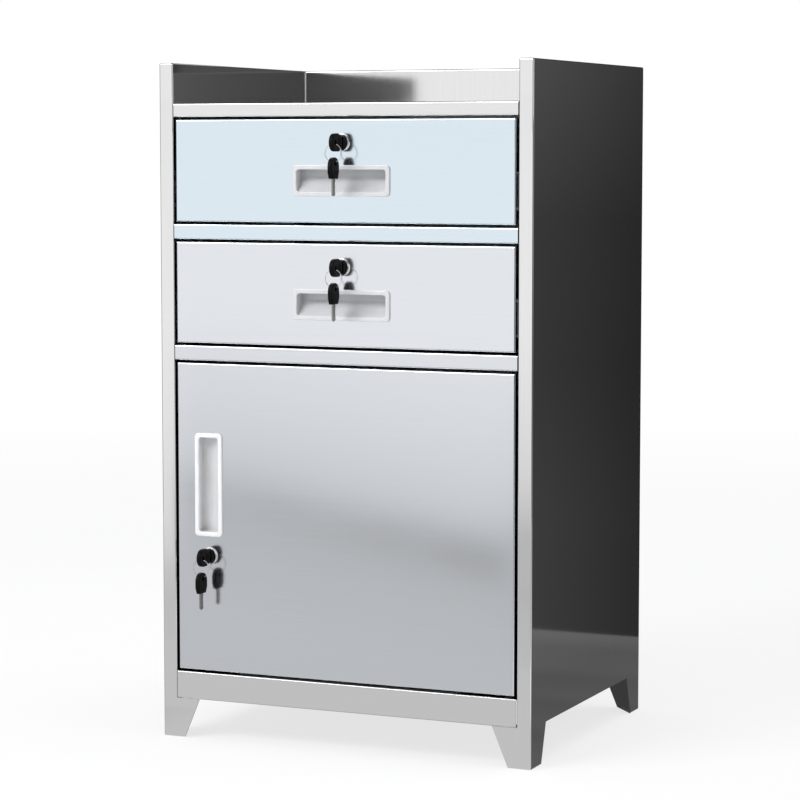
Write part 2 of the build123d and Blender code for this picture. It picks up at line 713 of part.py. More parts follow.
def pivot_pin(edge_z, into):
    """Pin and thrust washer on a rail, reaching into the door: up where into is 1, down where it is -1."""
    washer = Circle(WASHER_RADIUS)
    pin = Circle(PIN_RADIUS)
    gap = GAP - SLIP
    up = (0, 0, into)
    solid = extrude(washer, amount=gap, dir=up)
    solid += extrude(pin, amount=GAP + PIN_LENGTH, dir=up)
    return Pos(PIVOT_X, PIVOT_Y, edge_z) * solid


def pivot_bush(edge_z, into):
    """Bush inside the door's edge, bored for the pin."""
    up = (0, 0, into)
    solid = extrude(Circle(BUSH_RADIUS), amount=BUSH_LENGTH, dir=up)
    solid -= extrude(Circle(PIN_RADIUS + FIT), amount=PIN_LENGTH + SLIP, dir=up)
    return Pos(PIVOT_X, PIVOT_Y, edge_z) * solid


def door():
    """Door: skin, liner, pull on end, pivot bushes and lock."""
    hole = lock_hole(DOOR_PULL_X, DOOR_LOCK_Z)
    bush_holes = Pos(PIVOT_X, PIVOT_Y, DOOR_BOTTOM - OVERRUN) * extrude(
        Circle(BUSH_RADIUS + FIT), amount=DOOR_TOP - DOOR_BOTTOM + 2 * OVERRUN, dir=(0, 0, 1)
    )
    skin = front_skin(DOOR_BOTTOM, DOOR_TOP) - hole - bush_holes
    skin -= place_pull(pull_opening(), DOOR_PULL_X, DOOR_PULL_Z, -90)
    save(skin, "door_skin")
    save(front_liner(DOOR_BOTTOM, DOOR_TOP) - hole, "door_liner")
    save(place_pull(pull(), DOOR_PULL_X, DOOR_PULL_Z, -90), "door_pull")
    bushes = [pivot_bush(DOOR_BOTTOM, 1), pivot_bush(DOOR_TOP, -1)]
    save(Compound(children=bushes), "door_pivot_bushes")
    pins = [pivot_pin(APRON_TOP, 1), pivot_pin(HEAD_BOTTOM, -1)]
    save(Compound(children=pins), "door_pivot_pins")
    lock_set("door", DOOR_PULL_X, DOOR_LOCK_Z, DOOR_CAM_REACH, -90)


def carcass():
    """Everything that stays put."""
    right = side_panel()
    save(right, "right_side_panel")
    save(mirror(right, about=Plane.YZ), "left_side_panel")
    save(back_panel(), "back_panel")
    save(top_deck(), "top_deck")
    save(upper_rail(), "upper_rail")
    save(divider_panel(), "divider_panel")
    save(bottom_panel(), "bottom_panel")
    save(front_apron(), "front_apron")
    save(shelf(), "shelf")
    save(shelf_clips(), "shelf_clips")
    save(slide_posts(), "slide_posts")


os.makedirs("parts", exist_ok=True)
carcass()
drawer("upper", UPPER_TOP)
drawer("lower", LOWER_TOP)
door()
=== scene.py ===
import json
import math

import bpy
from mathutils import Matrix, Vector


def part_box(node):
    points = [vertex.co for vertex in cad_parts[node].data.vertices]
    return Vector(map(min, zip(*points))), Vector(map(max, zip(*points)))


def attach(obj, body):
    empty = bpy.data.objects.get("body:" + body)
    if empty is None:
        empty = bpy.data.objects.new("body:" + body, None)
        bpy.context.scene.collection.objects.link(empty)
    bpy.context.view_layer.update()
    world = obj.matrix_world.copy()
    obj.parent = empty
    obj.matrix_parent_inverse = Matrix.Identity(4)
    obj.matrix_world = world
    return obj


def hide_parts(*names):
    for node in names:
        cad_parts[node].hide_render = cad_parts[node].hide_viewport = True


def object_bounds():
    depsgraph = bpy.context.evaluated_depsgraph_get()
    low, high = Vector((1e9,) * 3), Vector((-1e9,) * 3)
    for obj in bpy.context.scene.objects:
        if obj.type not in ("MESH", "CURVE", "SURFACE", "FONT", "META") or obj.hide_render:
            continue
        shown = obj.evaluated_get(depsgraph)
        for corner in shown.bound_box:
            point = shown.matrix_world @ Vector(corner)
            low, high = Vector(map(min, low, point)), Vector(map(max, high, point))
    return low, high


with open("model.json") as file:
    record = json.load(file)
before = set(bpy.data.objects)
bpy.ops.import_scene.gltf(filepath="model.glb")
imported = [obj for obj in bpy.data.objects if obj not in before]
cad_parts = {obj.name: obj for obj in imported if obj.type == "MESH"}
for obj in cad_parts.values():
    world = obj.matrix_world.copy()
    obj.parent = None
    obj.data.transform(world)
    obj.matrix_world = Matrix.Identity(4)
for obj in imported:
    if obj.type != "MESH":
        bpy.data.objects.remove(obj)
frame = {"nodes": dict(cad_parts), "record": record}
CAD_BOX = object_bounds()
NODES = frame["nodes"]
SCENE = bpy.context.scene
MM = 0.001
DRAWERS = ("upper", "lower")
LOCKS = ("upper", "lower", "door")
FACE_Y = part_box("front_apron")[0][1]
RIGHT = (1.0, 0.0, 0.0)
LEFT = (-1.0, 0.0, 0.0)
BACK = (0.0, 1.0, 0.0)
UP = (0.0, 0.0, 1.0)
WHITE = (1.0, 1.0, 1.0, 1.0)
HALF = 0.5

# Where the photograph was taken from
CAMERA_PLACE = (1.4073, -3.20645, 0.7396)
CAMERA_YAW = 23.734
CAMERA_PITCH = 5.175
CAMERA_LENS = 123.15
CAMERA_SENSOR = 36.0
LEVEL_TILT = 90.0

# Small fittings that only this script makes
SLIDE_SCREW_RADIUS = 3.4 * MM
SLIDE_SCREW_HEIGHT = 1.5 * MM
SLIDE_SCREW_SHARES = (0.1, 0.5, 0.9)
SCREW_SHANK = 1.0 * MM
SLIDE_WEB = 1.2 * MM
CAM_SCREW_HEIGHT = 3.0 * MM
CAM_SCREW_SHANK = 2.6 * MM
RIVET_RADIUS = 2.6 * MM
RIVET_HEIGHT = 1.2 * MM
RIVET_RISE_SHARE = 0.4
CLIP_WIDTH = 20.0 * MM
CLIP_SHEET = 1.5 * MM
WELD_RADIUS = 3.2 * MM
WELD_HEIGHT = 0.12 * MM
WELD_LOW = 95.0 * MM
WELD_STEP = 82.0 * MM
WELD_COUNT = 9
WELD_INSET = 9.5 * MM
RING_WIRE = 0.4 * MM
RING_TURNS = 2.0
RIB_LENGTH = 12.0 * MM
RIB_WIDTH = 1.1 * MM
RIB_HEIGHT = 0.35 * MM
RIB_FROM_HOLE = (9.0 * MM, 11.5 * MM, 14.0 * MM)
KEY_HOLE_INSET = 7.5 * MM
CORNER_BEAD = 1.1 * MM


# Node helpers


def add(tree, kind, settings=None, **values):
    """A node with its settings and its input values. A value that is a socket is linked."""
    node = tree.nodes.new(kind)
    for name, value in (settings or {}).items():
        setattr(node, name, value)
    for name, value in values.items():
        socket = node.inputs[name.replace("_", " ")]
        if isinstance(value, bpy.types.NodeSocket):
            tree.links.new(value, socket)
        else:
            socket.default_value = value
    return node


def math_node(tree, operation, first, second):
    """Two numbers put together."""
    node = tree.nodes.new("ShaderNodeMath")
    node.operation = operation
    for socket, value in zip(node.inputs, (first, second)):
        if isinstance(value, bpy.types.NodeSocket):
            tree.links.new(value, socket)
        else:
            socket.default_value = value
    return node.outputs[0]


def scaled(tree, value, share):
    """A number times a share."""
    return math_node(tree, "MULTIPLY", value, share)


def surface(name):
    """An empty material with one Principled shader."""
    material = bpy.data.materials.new(name)
    material.use_nodes = True
    tree = material.node_tree
    tree.nodes.clear()
    shader = tree.nodes.new("ShaderNodeBsdfPrincipled")
    output = tree.nodes.new("ShaderNodeOutputMaterial")
    tree.links.new(shader.outputs["BSDF"], output.inputs["Surface"])
    return material, tree, shader


def piece_coords(tree, stretch=(1.0, 1.0, 1.0)):
    """Object coordinates in metres, stretched for a grain."""
    coords = add(tree, "ShaderNodeTexCoord")
    mapping = add(tree, "ShaderNodeMapping", Vector=coords.outputs["Object"], Scale=stretch)
    return mapping.outputs["Vector"]


def noise(tree, vector, cells=1.0, detail=2.0, rough=0.5):
    """Smooth noise from 0 to 1, with a number of cells per metre of its coordinates."""
    node = add(tree, "ShaderNodeTexNoise", Vector=vector, Scale=cells, Detail=detail, Roughness=rough)
    return node.outputs["Fac"]


def spread(tree, value, low, high, start=0.3, end=0.7):
    """A value spread over a range."""
    node = add(
        tree, "ShaderNodeMapRange", Value=value, From_Min=start, From_Max=end, To_Min=low, To_Max=high
    )
    return node.outputs["Result"]


def two_tone(tree, value, dark, light, start=0.3, end=0.7):
    """Colour between two tones, by a noise value."""
    ramp = tree.nodes.new("ShaderNodeValToRGB")
    ramp.color_ramp.elements[0].position = start
    ramp.color_ramp.elements[0].color = (*dark, 1.0)
    ramp.color_ramp.elements[1].position = end
    ramp.color_ramp.elements[1].color = (*light, 1.0)
    tree.links.new(value, ramp.inputs["Fac"])
    return ramp.outputs["Color"]


def tinted(tree, value, tone, dark_share, light_share):
    """Colour between a darker and a lighter share of a tone, by a noise value."""
    return two_tone(tree, value, shade(tone, dark_share), shade(tone, light_share))


def relief(tree, height, depth, under=None):
    """Bump of a real depth in metres, over another bump if there is one."""
    node = add(tree, "ShaderNodeBump", Height=height, Strength=1.0, Distance=depth)
    if under is not None:
        tree.links.new(under, node.inputs["Normal"])
    return node.outputs["Normal"]


def shade(colour, share):
    """A darker or lighter tone of a colour."""
    return tuple(min(1.0, channel * share) for channel in colour)


def grey(level):
    """A neutral tone."""
    return (level, level, level)


def product(tree, first, second):
    """Two colours multiplied."""
    node = add(tree, "ShaderNodeVectorMath", {"operation": "MULTIPLY"})
    tree.links.new(first, node.inputs[0])
    tree.links.new(second, node.inputs[1])
    return node.outputs["Vector"]


def painted_depth_shade(tree, colour, start, end, share):
    """Painted shade: a colour that falls to a share of itself between two distances behind the front
    faces.
    """
    place = add(tree, "ShaderNodeSeparateXYZ", Vector=piece_coords(tree))
    depth = spread(tree, place.outputs["Y"], 0.0, 1.0, FACE_Y + start, FACE_Y + end)
    return product(tree, colour, two_tone(tree, depth, grey(1.0), grey(share), 0.0, 1.0))


# Finishes


def mill_finish(tree, back_y, top_z):
    """1 where a sheet lies before a depth and under a height, inside the cabinet, and 0 elsewhere."""
    place = add(tree, "ShaderNodeSeparateXYZ", Vector=piece_coords(tree))
    before = math_node(tree, "LESS_THAN", place.outputs["Y"], back_y)
    under = math_node(tree, "LESS_THAN", place.outputs["Z"], top_z)
    return scaled(tree, before, under)


def sheet_steel(name, tone, roughness, grain, wave_depth, painted_shade_from=None, mill_inside=None):
    """Stainless sheet: rolling grain along one way, slow waves of the sheet and faint wiping marks.

    The part of the sheet that lies farther back than the given shade depth is painted dark, as painted
    shade in the gap behind the fronts.
    The side that faces into the cabinet, given as (depth, height), keeps its rough mill finish.
    """
    line_share, speck_share = 0.6, 0.4
    smooth_share, rough_share, smudge_share = 0.85, 1.15, 0.22
    painted_shade_share, painted_shade_run, line_depth = 0.1, 2.0 * MM, 0.004 * MM
    material, tree, steel = surface(name)
    plain = piece_coords(tree)
    lines = noise(tree, piece_coords(tree, grain), detail=4.0, rough=0.65)
    specks = noise(tree, plain, cells=420.0, detail=2.0, rough=0.6)
    wiped = noise(tree, plain, cells=11.0, detail=4.0, rough=0.55)
    waves = noise(tree, plain, cells=5.0, detail=1.0, rough=0.4)
    marks = math_node(tree, "ADD", scaled(tree, lines, line_share), scaled(tree, specks, speck_share))
    colour = tinted(tree, marks, tone, dark_share=0.97, light_share=1.02)
    # painted shade: the sheet farther back than the shade depth is painted dark
    if painted_shade_from:
        colour = painted_depth_shade(tree, colour, painted_shade_from, painted_shade_from + painted_shade_run, painted_shade_share)
    tree.links.new(colour, steel.inputs["Base Color"])
    grainy = spread(tree, marks, roughness * smooth_share, roughness * rough_share)
    smudge = spread(tree, wiped, 0.0, roughness * smudge_share, start=0.4, end=0.75)
    finish = math_node(tree, "ADD", grainy, smudge)
    if mill_inside:
        mill = scaled(tree, mill_finish(tree, *mill_inside), MILL_ROUGHNESS)
        finish = math_node(tree, "ADD", finish, mill)
    tree.links.new(finish, steel.inputs["Roughness"])
    sheet = relief(tree, waves, wave_depth)
    tree.links.new(relief(tree, lines, line_depth, sheet), steel.inputs["Normal"])
    steel.inputs["Metallic"].default_value = 1.0
    return material


def zinc_plate(name, tone):
    """Bright zinc: patchy, a little blue, with faint streaks."""
    low_rough, high_rough, patch_depth = 0.24, 0.42, 0.01 * MM
    streak_stretch = (900.0, 40.0, 900.0)
    material, tree, zinc = surface(name)
    patches = noise(tree, piece_coords(tree), cells=160.0, detail=3.0, rough=0.6)
    streaks = noise(tree, piece_coords(tree, streak_stretch), detail=3.0, rough=0.6)
    colour = tinted(tree, patches, tone, dark_share=0.86, light_share=1.08)
    tree.links.new(colour, zinc.inputs["Base Color"])
    tree.links.new(spread(tree, streaks, low_rough, high_rough), zinc.inputs["Roughness"])
    tree.links.new(relief(tree, patches, patch_depth), zinc.inputs["Normal"])
    zinc.inputs["Metallic"].default_value = 1.0
    return material


def bright_plate(name, tone, low_rough, high_rough):
    """Plated metal with hairline polishing marks."""
    hair_stretch, hair_depth = (2500.0, 2500.0, 300.0), 0.003 * MM
    material, tree, plate = surface(name)
    hair = noise(tree, piece_coords(tree, hair_stretch), detail=3.0, rough=0.6)
    cloud = noise(tree, piece_coords(tree), cells=220.0, detail=2.0)
    colour = tinted(tree, cloud, tone, dark_share=0.93, light_share=1.04)
    tree.links.new(colour, plate.inputs["Base Color"])
    tree.links.new(spread(tree, hair, low_rough, high_rough), plate.inputs["Roughness"])
    tree.links.new(relief(tree, hair, hair_depth), plate.inputs["Normal"])
    plate.inputs["Metallic"].default_value = 1.0
    return material


def moulded_plastic(name, tone, roughness, grain_cells, grain_depth, coat, shine=0.5, recess=None):
    """Moulded plastic: a fine spark-eroded grain, slow flow marks and a skin of gloss.

    A recess is (start, end, share): between the two depths the tone falls to a share, as painted shade.
    """
    smooth_share, rough_share, coat_roughness = 0.85, 1.2, 0.12
    material, tree, plastic = surface(name)
    plain = piece_coords(tree)
    flow = noise(tree, plain, cells=45.0, detail=3.0, rough=0.55)
    grain = noise(tree, plain, grain_cells, detail=2.0, rough=0.6)
    colour = tinted(tree, flow, tone, dark_share=0.95, light_share=1.03)
    # painted shade: darker deeper in the recess
    if recess:
        colour = painted_depth_shade(tree, colour, *recess)
    tree.links.new(colour, plastic.inputs["Base Color"])
    mottled = spread(tree, grain, roughness * smooth_share, roughness * rough_share)
    tree.links.new(mottled, plastic.inputs["Roughness"])
    tree.links.new(relief(tree, grain, grain_depth), plastic.inputs["Normal"])
    plastic.inputs["Specular IOR Level"].default_value = shine
    plastic.inputs["Coat Weight"].default_value = coat
    plastic.inputs["Coat Roughness"].default_value = coat_roughness
    return material


# Cells of the rolling grain in a metre, along each way of the sheet
ALONG_X = (6.0, 1600.0, 1600.0)
ALONG_Y = (1600.0, 6.0, 1600.0)
ALONG_Z = (420.0, 420.0, 4.0)

# Tones and roughness of the sheets. The fronts' tones are lit and shaded copies of one steel: painted
# light, shade and reflection.
PLAIN_STEEL = (0.80, 0.80, 0.80)
PALE_BLUE_LIT_STEEL = (0.725, 0.815, 0.885)
PALE_LIT_STEEL = (0.765, 0.79, 0.832)
BLUE_GREY_SHADED_STEEL = (0.735, 0.76, 0.798)
MILL_STEEL = (0.66, 0.67, 0.685)
BURNT_STEEL = (0.55, 0.54, 0.53)
POLISHED = 0.055
FINE_SATIN = 0.09
SATIN = 0.14
DULL = 0.30
BURNT = 0.34
MILL_ROUGHNESS = 0.36

# Depths of the slow waves in the sheets
WELD_WAVES = 0.02 * MM
STRIP_WAVES = 0.04 * MM
SHEET_WAVES = 0.05 * MM
DOOR_WAVES = 0.06 * MM
INNER_WAVES = 0.10 * MM

# Where a fold behind the fronts is painted dark as painted shade, and what of the back panel lies inside
SHADED_FOLD_DEPTH = 12.0 * MM
BACK_SKIN = 0.5 * MM
BACK_INSIDE = (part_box("back_panel")[1][1] - BACK_SKIN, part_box("top_deck")[0][2])

# Start and end of the painted shade in the pulls' recesses behind the fronts, and the share of the tone
# left there
SILVER_RECESS_SHADE = (-1.0 * MM, 13.0 * MM, 0.8)
WHITE_RECESS_SHADE = (-1.8 * MM, 2.0 * MM, 0.82)

ZINC = zinc_plate("bright_zinc", (0.66, 0.685, 0.72))
CHROME = bright_plate("lock_plate", (0.80, 0.80, 0.81), low_rough=0.05, high_rough=0.15)
NICKEL = bright_plate("key_nickel", (0.27, 0.265, 0.26), low_rough=0.22, high_rough=0.34)
# The pivot pins in the door gap are painted near black, as painted shade.
PIN_IN_PAINTED_SHADE = bright_plate("pin_painted_dark_as_shade", (0.025, 0.025, 0.026), low_rough=0.3, high_rough=0.45)
BLACK_GRIP = moulded_plastic(
    "black_key_grip",
    (0.004, 0.004, 0.0045),
    roughness=0.45,
    grain_cells=3000.0,
    grain_depth=0.03 * MM,
    coat=0.0,
    shine=0.07,
)
SILVER_PULL = moulded_plastic(
    "silver_grey_pull_shaded_recess",
    (0.71, 0.715, 0.73),
    roughness=0.34,
    grain_cells=2200.0,
    grain_depth=0.01 * MM,
    coat=0.2,
    recess=SILVER_RECESS_SHADE,
)
WHITE_PULL = moulded_plastic(
    "white_door_pull_shaded_recess",
    (0.90, 0.90, 0.905),
    roughness=0.32,
    grain_cells=2200.0,
    grain_depth=0.01 * MM,
    coat=0.3,
    recess=WHITE_RECESS_SHADE,
)
NYLON = moulded_plastic(
    "natural_nylon",
    (0.78, 0.775, 0.74),
    roughness=0.5,
    grain_cells=1800.0,
    grain_depth=0.02 * MM,
    coat=0.0,
)
SIDE_SHEET = sheet_steel("polished_side_sheet", PLAIN_STEEL, POLISHED, ALONG_Z, SHEET_WAVES)
BACK_SHEET = sheet_steel(
    "satin_back_sheet", PLAIN_STEEL, FINE_SATIN, ALONG_Z, SHEET_WAVES, mill_inside=BACK_INSIDE
)
DECK_SHEET = sheet_steel("satin_deck_sheet", PLAIN_STEEL, SATIN, ALONG_X, STRIP_WAVES)
# The apron and the rail are painted dark behind their folds, as painted shade in the gaps.
APRON_SHEET = sheet_steel("satin_apron_sheet_shaded_fold", PLAIN_STEEL, SATIN, ALONG_X, STRIP_WAVES, SHADED_FOLD_DEPTH)
# The fronts share one steel, in copies tinted as painted light, shade and reflection.
UPPER_SHEET = sheet_steel("pale_blue_lit_satin_sheet", PALE_BLUE_LIT_STEEL, SATIN, ALONG_X, SHEET_WAVES)
RAIL_SHEET = sheet_steel("pale_blue_lit_rail_sheet_shaded_fold", PALE_BLUE_LIT_STEEL, SATIN, ALONG_X, STRIP_WAVES, SHADED_FOLD_DEPTH)
LOWER_SHEET = sheet_steel("pale_lit_satin_sheet", PALE_LIT_STEEL, SATIN, ALONG_X, SHEET_WAVES)
DOOR_SHEET = sheet_steel("blue_grey_shaded_satin_sheet", BLUE_GREY_SHADED_STEEL, SATIN, ALONG_X, DOOR_WAVES)
INNER_SHEET = sheet_steel("mill_inner_sheet", MILL_STEEL, DULL, ALONG_Y, INNER_WAVES)
WELD_SHEET = sheet_steel("spot_weld_mark", BURNT_STEEL, BURNT, ALONG_Z, WELD_WAVES)

FINISHES = {
    "side_steel": SIDE_SHEET,
    "front_steel": DECK_SHEET,
    "inner_steel": INNER_SHEET,
    "zinc_steel": ZINC,
    "lock_chrome": CHROME,
    "pull_plastic": SILVER_PULL,
    "key_plastic": BLACK_GRIP,
    "bush_nylon": NYLON,
}
OWN_FINISHES = {
    "back_panel": BACK_SHEET,
    "upper_drawer_skin": UPPER_SHEET,
    "upper_rail": RAIL_SHEET,
    "front_apron": APRON_SHEET,
    "lower_drawer_skin": LOWER_SHEET,
    "divider_panel": DOOR_SHEET,
    "door_skin": DOOR_SHEET,
    "door_pull": WHITE_PULL,
    "door_pivot_pins": PIN_IN_PAINTED_SHADE,
}
OWN_FINISHES.update({f"{lock}_key_blade": NICKEL for lock in LOCKS})
OWN_FINISHES.update({f"{lock}_spare_key_blade": NICKEL for lock in LOCKS})


def dress(node, material):
    """Give a CAD node its finish."""
    slots = NODES[node].data.materials
    slots.clear()
    slots.append(material)


for subpart in frame["record"]["subparts"]:
    dress(subpart["node"], OWN_FINISHES.get(subpart["node"], FINISHES[subpart["material_slot"]]))


# Fittings that repeat


def fitting_tree(name, sizes):
    """An empty geometry tree: points come in, with named sizes and a finish, and a mesh goes out."""
    tree = bpy.data.node_groups.new(name, "GeometryNodeTree")
    tree.interface.new_socket("Points", in_out="INPUT", socket_type="NodeSocketGeometry")
    for size in sizes:
        tree.interface.new_socket(size, in_out="INPUT", socket_type="NodeSocketFloat")
    tree.interface.new_socket("Finish", in_out="INPUT", socket_type="NodeSocketMaterial")
    tree.interface.new_socket("Mesh", in_out="OUTPUT", socket_type="NodeSocketGeometry")
    return tree, tree.nodes.new("NodeGroupInput").outputs


def upright(tree, distance):
    """A vector of some length along Z."""
    return add(tree, "ShaderNodeCombineXYZ", Z=distance).outputs["Vector"]


def step_up(tree, mesh, top, rise, width_share):
    """Raise the top face of a mesh by one step and narrow it to a share of its width."""
    raised = add(tree, "GeometryNodeExtrudeMesh", Mesh=mesh, Selection=top, Offset_Scale=rise)
    narrowed = add(
        tree,
        "GeometryNodeScaleElements",
        Geometry=raised.outputs["Mesh"],
        Selection=raised.outputs["Top"],
        Scale=width_share,
    )
    return narrowed.outputs["Geometry"], raised.outputs["Top"]


def lifted(tree, geometry, distance):
    """A shape moved along Z."""
    node = add(tree, "GeometryNodeTransform", Geometry=geometry, Translation=upright(tree, distance))
    return node.outputs["Geometry"]


def domed_head(tree, radius, height):
    """A round head that stands on z = 0, with a flat rim and a crown in two steps."""
    sides = 32
    rim_share, shoulder_share, crown_share = 0.5, 0.3, 0.2
    shoulder_width_share, crown_width_share = 0.86, 0.72
    rim = scaled(tree, height, rim_share)
    disc = add(tree, "GeometryNodeMeshCylinder", Vertices=sides, Radius=radius, Depth=rim)
    mesh, top = lifted(tree, disc.outputs["Mesh"], scaled(tree, rim, HALF)), disc.outputs["Top"]
    mesh, top = step_up(tree, mesh, top, scaled(tree, height, shoulder_share), shoulder_width_share)
    return step_up(tree, mesh, top, scaled(tree, height, crown_share), crown_width_share)[0]


def on_points(tree, given, fitting):
    """One fitting on each point, turned by the point's facing and along directions, as one mesh."""
    facing = add(tree, "GeometryNodeInputNamedAttribute", {"data_type": "FLOAT_VECTOR"}, Name="facing")
    along = add(tree, "GeometryNodeInputNamedAttribute", {"data_type": "FLOAT_VECTOR"}, Name="along")
    out = add(tree, "FunctionNodeAlignRotationToVector", {"axis": "Z"}, Vector=facing.outputs["Attribute"])
    turn = add(
        tree,
        "FunctionNodeAlignRotationToVector",
        {"axis": "Y", "pivot_axis": "Z"},
        Rotation=out.outputs["Rotation"],
        Vector=along.outputs["Attribute"],
    )
    placed = add(
        tree,
        "GeometryNodeInstanceOnPoints",
        Points=given["Points"],
        Instance=fitting,
        Rotation=turn.outputs["Rotation"],
    )
    finish_tree(tree, given, placed.outputs["Instances"])


def finish_tree(tree, given, geometry):
    """End a tree: real meshes with their finish."""
    real = add(tree, "GeometryNodeRealizeInstances", Geometry=geometry)
    painted = add(
        tree, "GeometryNodeSetMaterial", Geometry=real.outputs["Geometry"], Material=given["Finish"]
    )
    add(tree, "NodeGroupOutput", Mesh=painted.outputs["Geometry"])


def cross_screws():
    """Pan-head screws with a cross recess and a short shank."""
    tree, given = fitting_tree("cross_screws", ("Radius", "Height", "Shank"))
    radius, height, shank = given["Radius"], given["Height"], given["Shank"]
    core_sides, core_share, sunk_share, long_share, short_share = 20, 0.39, 0.2, 1.0, 0.24
    sunk = scaled(tree, height, sunk_share)
    depth = math_node(tree, "ADD", shank, sunk)
    core_radius = scaled(tree, radius, core_share)
    core = add(tree, "GeometryNodeMeshCylinder", Vertices=core_sides, Radius=core_radius, Depth=depth)
    middle = math_node(tree, "SUBTRACT", sunk, scaled(tree, depth, HALF))
    bolt = lifted(tree, core.outputs["Mesh"], middle)
    whole = add(tree, "GeometryNodeMeshBoolean", {"operation": "UNION"})
    tree.links.new(domed_head(tree, radius, height), whole.inputs["Mesh 2"])
    tree.links.new(bolt, whole.inputs["Mesh 2"])
    recess = add(
        tree, "GeometryNodeMeshBoolean", {"operation": "DIFFERENCE"}, Mesh_1=whole.outputs["Mesh"]
    )
    long_side = scaled(tree, radius, long_share)
    short_side = scaled(tree, radius, short_share)
    for width, breadth in ((long_side, short_side), (short_side, long_side)):
        size = add(tree, "ShaderNodeCombineXYZ", X=width, Y=breadth, Z=height)
        bar = add(tree, "GeometryNodeMeshCube", Size=size.outputs["Vector"])
        tree.links.new(lifted(tree, bar.outputs["Mesh"], height), recess.inputs["Mesh 2"])
    on_points(tree, given, recess.outputs["Mesh"])
    return tree


def round_rivets():
    """Domed rivet heads."""
    tree, given = fitting_tree("round_rivets", ("Radius", "Height"))
    on_points(tree, given, domed_head(tree, given["Radius"], given["Height"]))
    return tree


def spot_welds():
    """Shallow round marks of spot welds: a raised ring about a flat dish."""
    tree, given = fitting_tree("spot_welds", ("Radius", "Height"))
    sides, ring_share, dish_share, floor_share = 28, 0.86, 0.8, 0.9
    radius, height = given["Radius"], given["Height"]
    disc = add(tree, "GeometryNodeMeshCylinder", Vertices=sides, Radius=radius, Depth=height)
    mesh, top = step_up(tree, disc.outputs["Mesh"], disc.outputs["Top"], height, ring_share)
    mesh, top = step_up(tree, mesh, top, 0.0, dish_share)
    mesh = step_up(tree, mesh, top, scaled(tree, height, -1.0), floor_share)[0]
    on_points(tree, given, mesh)
    return tree


def grip_ribs():
    """Low rounded ribs, half sunk in the face that carries them."""
    tree, given = fitting_tree("grip_ribs", ("Length", "Width", "Height"))
    segments, rings = 16, 10
    ball = add(tree, "GeometryNodeMeshUVSphere", Segments=segments, Rings=rings, Radius=1.0)
    size = add(
        tree,
        "ShaderNodeCombineXYZ",
        X=scaled(tree, given["Width"], HALF),
        Y=scaled(tree, given["Length"], HALF),
        Z=given["Height"],
    )
    rib = add(tree, "GeometryNodeTransform", Geometry=ball.outputs["Mesh"], Scale=size.outputs["Vector"])
    smooth = add(tree, "GeometryNodeSetShadeSmooth", Geometry=rib.outputs["Geometry"])
    on_points(tree, given, smooth.outputs["Geometry"])
    return tree


def round_bar(tree, curve, radius, sides):
    """A round bar along a curve, with closed ends."""
    section = add(tree, "GeometryNodeCurvePrimitiveCircle", Resolution=sides, Radius=radius)
    bar = add(
        tree,
        "GeometryNodeCurveToMesh",
        Curve=curve,
        Profile_Curve=section.outputs["Curve"],
        Fill_Caps=True,
    )
    return bar.outputs["Mesh"]


def split_rings():
    """Rings wound from a round wire in flat turns side by side, about the facing direction of a point."""
    tree, given = fitting_tree("split_rings", ("Radius", "Wire", "Turns"))
    turn_steps, wire_sides, rise_share = 72, 10, 2.0
    rise = scaled(tree, given["Wire"], rise_share)
    wound = add(
        tree,
        "GeometryNodeCurveSpiral",
        Resolution=turn_steps,
        Rotations=given["Turns"],
        Start_Radius=given["Radius"],
        End_Radius=given["Radius"],
        Height=rise,
    )
    centred = lifted(tree, wound.outputs["Curve"], scaled(tree, rise, -HALF))
    wire = round_bar(tree, centred, given["Wire"], wire_sides)
    smooth = add(tree, "GeometryNodeSetShadeSmooth", Geometry=wire)
    on_points(tree, given, smooth.outputs["Geometry"])
    return tree


def corner_beads():
    """Straight round beads of weld, along the facing direction of a point."""
    tree, given = fitting_tree("corner_beads", ("Radius", "Length"))
    bead_sides = 20
    line = add(tree, "GeometryNodeCurvePrimitiveLine", End=upright(tree, given["Length"]))
    on_points(tree, given, round_bar(tree, line.outputs["Curve"], given["Radius"], bead_sides))
    return tree


def make_fittings(name, tree, sizes, finish, places):
    """Run a tree on a list of (point, facing, along) places, and keep the result as a plain mesh."""
    points = bpy.data.meshes.new(f"{name}_points")
    points.from_pydata([place[0] for place in places], [], [])
    for column, label in ((1, "facing"), (2, "along")):
        values = points.attributes.new(label, "FLOAT_VECTOR", "POINT")
        for item, place in zip(values.data, places):
            item.vector = place[column]
    piece = bpy.data.objects.new(name, points)
    SCENE.collection.objects.link(piece)
    modifier = piece.modifiers.new("fittings", "NODES")
    modifier.node_group = tree
    settings = {**sizes, "Finish": finish}
    for socket in tree.interface.items_tree:
        if socket.in_out == "INPUT" and socket.name in settings:
            modifier[socket.identifier] = settings[socket.name]
    ready = piece.evaluated_get(bpy.context.evaluated_depsgraph_get())
    mesh = bpy.data.meshes.new_from_object(ready)
    piece.modifiers.remove(modifier)
    piece.data = mesh
    mesh.name = name
    return piece


def seat(piece, body):
    """Let a piece ride on a body."""
    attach(piece, body)


SCREW_TREE = cross_screws()
RIVET_TREE = round_rivets()
WELD_TREE = spot_welds()
RIB_TREE = grip_ribs()
RING_TREE = split_rings()
BEAD_TREE = corner_beads()


def rail_screw_places(node, web_x, right_facing):
    """Places along both rails of a pair, on the face of their webs at a distance from the middle."""
    low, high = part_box(node)
    z = (low[2] + high[2]) / 2
    left_facing = tuple(-part for part in right_facing)
    places = []
    for share in SLIDE_SCREW_SHARES:
        y = low[1] + (high[1] - low[1]) * share
        places.append(((web_x, y, z), right_facing, UP))
        places.append(((-web_x, y, z), left_facing, UP))
    return places


